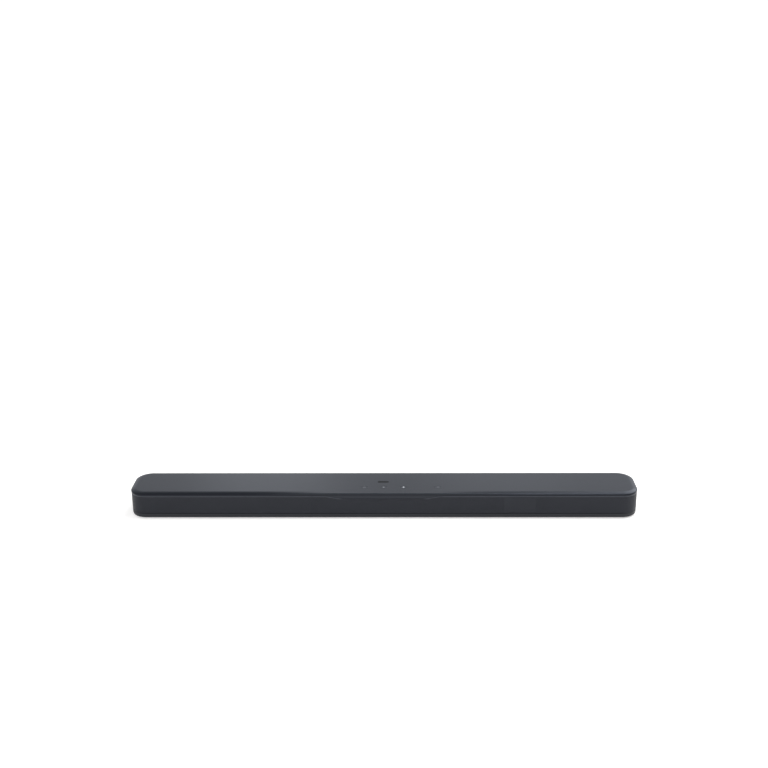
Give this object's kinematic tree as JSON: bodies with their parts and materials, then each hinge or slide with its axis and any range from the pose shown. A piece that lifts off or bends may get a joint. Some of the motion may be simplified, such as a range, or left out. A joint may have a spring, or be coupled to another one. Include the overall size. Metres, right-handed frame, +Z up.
{
  "type": "soundbar",
  "caption": "Long low soundbar with rounded ends, a satin top cover, wrap-round perforated grille, flush touch keys, racetrack drivers and recessed rear sockets",
  "frame": {"origin": "on the resting surface, under the middle of the bar", "axes": "+X along the length, to the right as the listener sees it, -Y towards the listener, +Z up"},
  "size_m": [1.017, 0.1036, 0.056],
  "materials": {
    "cover_plastic": "fine satin, dark grey",
    "badge_gloss": "smooth, near black, blank",
    "housing_plastic": "fine textured, near black",
    "panel_plastic": "fine textured, near black",
    "foot_rubber": "matt",
    "screw_steel": "blackened",
    "insert_brass": "turned",
    "grille_metal": "perforated sheet with satin dark grey paint",
    "scrim_cloth": "thin black acoustic cloth",
    "baffle_plastic": "moulded black",
    "driver_plastic": "moulded black",
    "cone_paper": "pressed fibre, black",
    "surround_rubber": "smooth matt roll",
    "dome_silk": "doped cloth",
    "spider_cloth": "stiffened woven disc",
    "motor_steel": "plated",
    "circuit_board": "solder-masked laminate",
    "switch_plastic": "moulded black",
    "lens_smoke": "smoked, polished",
    "socket_metal": "stamped and plated",
    "inlet_plastic": "moulded black",
    "ferrite_core": "sintered core round copper wire",
    "capacitor_sleeve": "shrink sleeve",
    "heatsink_aluminium": "extruded",
    "lead_insulation": "smooth insulation"
  },
  "bodies": {
    "bar": {"top_cover": "cover_plastic", "badge_inlay": "badge_gloss", "bottom_tray": "housing_plastic", "rear_panel": "housing_plastic", "rear_ends": "housing_plastic", "rubber_feet": "foot_rubber", "housing_screws": "screw_steel", "screw_spacers": "driver_plastic", "wall_mount_inserts": "insert_brass", "front_grille": "grille_metal", "grille_scrim": "scrim_cloth", "speaker_baffle": "baffle_plastic", "woofer_frames": "driver_plastic", "tweeter_frames": "driver_plastic", "woofer_motors": "motor_steel", "woofer_spiders": "spider_cloth", "tweeter_motors": "motor_steel", "driver_screws": "screw_steel", "button_board": "circuit_board", "button_switches": "switch_plastic", "display_lens": "lens_smoke", "display_module": "switch_plastic", "infrared_eye": "lens_smoke", "io_panel": "panel_plastic", "power_panel": "panel_plastic", "panel_screws": "screw_steel", "hdmi_sockets": "socket_metal", "usb_socket": "socket_metal", "ethernet_socket": "socket_metal", "optical_socket": "switch_plastic", "mains_inlet": "inlet_plastic", "main_board": "circuit_board", "board_shields": "socket_metal", "power_supply_board": "circuit_board", "supply_transformer": "ferrite_core", "supply_capacitors": "capacitor_sleeve", "amplifier_board": "circuit_board", "amplifier_heatsink": "heatsink_aluminium", "wireless_module": "circuit_board", "board_screws": "screw_steel", "speaker_leads": "lead_insulation", "mains_lead": "lead_insulation", "display_ribbon": "lead_insulation", "outer_left_woofer_surround": "surround_rubber", "inner_left_woofer_surround": "surround_rubber", "inner_right_woofer_surround": "surround_rubber", "outer_right_woofer_surround": "surround_rubber"},
    "power_key": {"power_button": "cover_plastic"},
    "volume_down_key": {"volume_down_button": "cover_plastic"},
    "volume_up_key": {"volume_up_button": "cover_plastic"},
    "source_key": {"source_button": "cover_plastic"},
    "outer_left_cone": {"outer_left_woofer_cone": "cone_paper"},
    "inner_left_cone": {"inner_left_woofer_cone": "cone_paper"},
    "inner_right_cone": {"inner_right_woofer_cone": "cone_paper"},
    "outer_right_cone": {"outer_right_woofer_cone": "cone_paper"},
    "left_dome": {"left_tweeter_dome": "dome_silk"},
    "centre_dome": {"centre_tweeter_dome": "dome_silk"},
    "right_dome": {"right_tweeter_dome": "dome_silk"},
    "optical_flap": {"optical_shutter": "switch_plastic"}
  },
  "joints": [
    {"name": "power_press", "type": "slide", "parent": "bar", "child": "power_key", "axis": [0, 0, -1], "range_m": [0, 0.0006], "stiffness_N_per_m": 1000, "springref_m": -0.0008},
    {"name": "volume_down_press", "type": "slide", "parent": "bar", "child": "volume_down_key", "axis": [0, 0, -1], "range_m": [0, 0.0006], "stiffness_N_per_m": 1000, "springref_m": -0.0008},
    {"name": "volume_up_press", "type": "slide", "parent": "bar", "child": "volume_up_key", "axis": [0, 0, -1], "range_m": [0, 0.0006], "stiffness_N_per_m": 1000, "springref_m": -0.0008},
    {"name": "source_press", "type": "slide", "parent": "bar", "child": "source_key", "axis": [0, 0, -1], "range_m": [0, 0.0006], "stiffness_N_per_m": 1000, "springref_m": -0.0008},
    {"name": "outer_left_cone_stroke", "type": "slide", "parent": "bar", "child": "outer_left_cone", "axis": [0, -1, 0], "range_m": [-0.002, 0.002], "stiffness_N_per_m": 1500, "deforming": ["outer_left_woofer_surround"]},
    {"name": "inner_left_cone_stroke", "type": "slide", "parent": "bar", "child": "inner_left_cone", "axis": [0, -1, 0], "range_m": [-0.002, 0.002], "stiffness_N_per_m": 1500, "deforming": ["inner_left_woofer_surround"]},
    {"name": "inner_right_cone_stroke", "type": "slide", "parent": "bar", "child": "inner_right_cone", "axis": [0, -1, 0], "range_m": [-0.002, 0.002], "stiffness_N_per_m": 1500, "deforming": ["inner_right_woofer_surround"]},
    {"name": "outer_right_cone_stroke", "type": "slide", "parent": "bar", "child": "outer_right_cone", "axis": [0, -1, 0], "range_m": [-0.002, 0.002], "stiffness_N_per_m": 1500, "deforming": ["outer_right_woofer_surround"]},
    {"name": "left_dome_stroke", "type": "slide", "parent": "bar", "child": "left_dome", "axis": [0, -1, 0], "range_m": [-0.0003, 0.0003], "stiffness_N_per_m": 800},
    {"name": "centre_dome_stroke", "type": "slide", "parent": "bar", "child": "centre_dome", "axis": [0, -1, 0], "range_m": [-0.0003, 0.0003], "stiffness_N_per_m": 800},
    {"name": "right_dome_stroke", "type": "slide", "parent": "bar", "child": "right_dome", "axis": [0, -1, 0], "range_m": [-0.0003, 0.0003], "stiffness_N_per_m": 800},
    {"name": "optical_flap_hinge", "type": "hinge", "parent": "bar", "child": "optical_flap", "pos_m": [-0.058, 0.03075, 0.0256], "axis": [-1, 0, 0], "range_deg": [0, 75], "stiffness_Nm_per_rad": 0.0005, "springref_deg": -17.19}
  ]
}
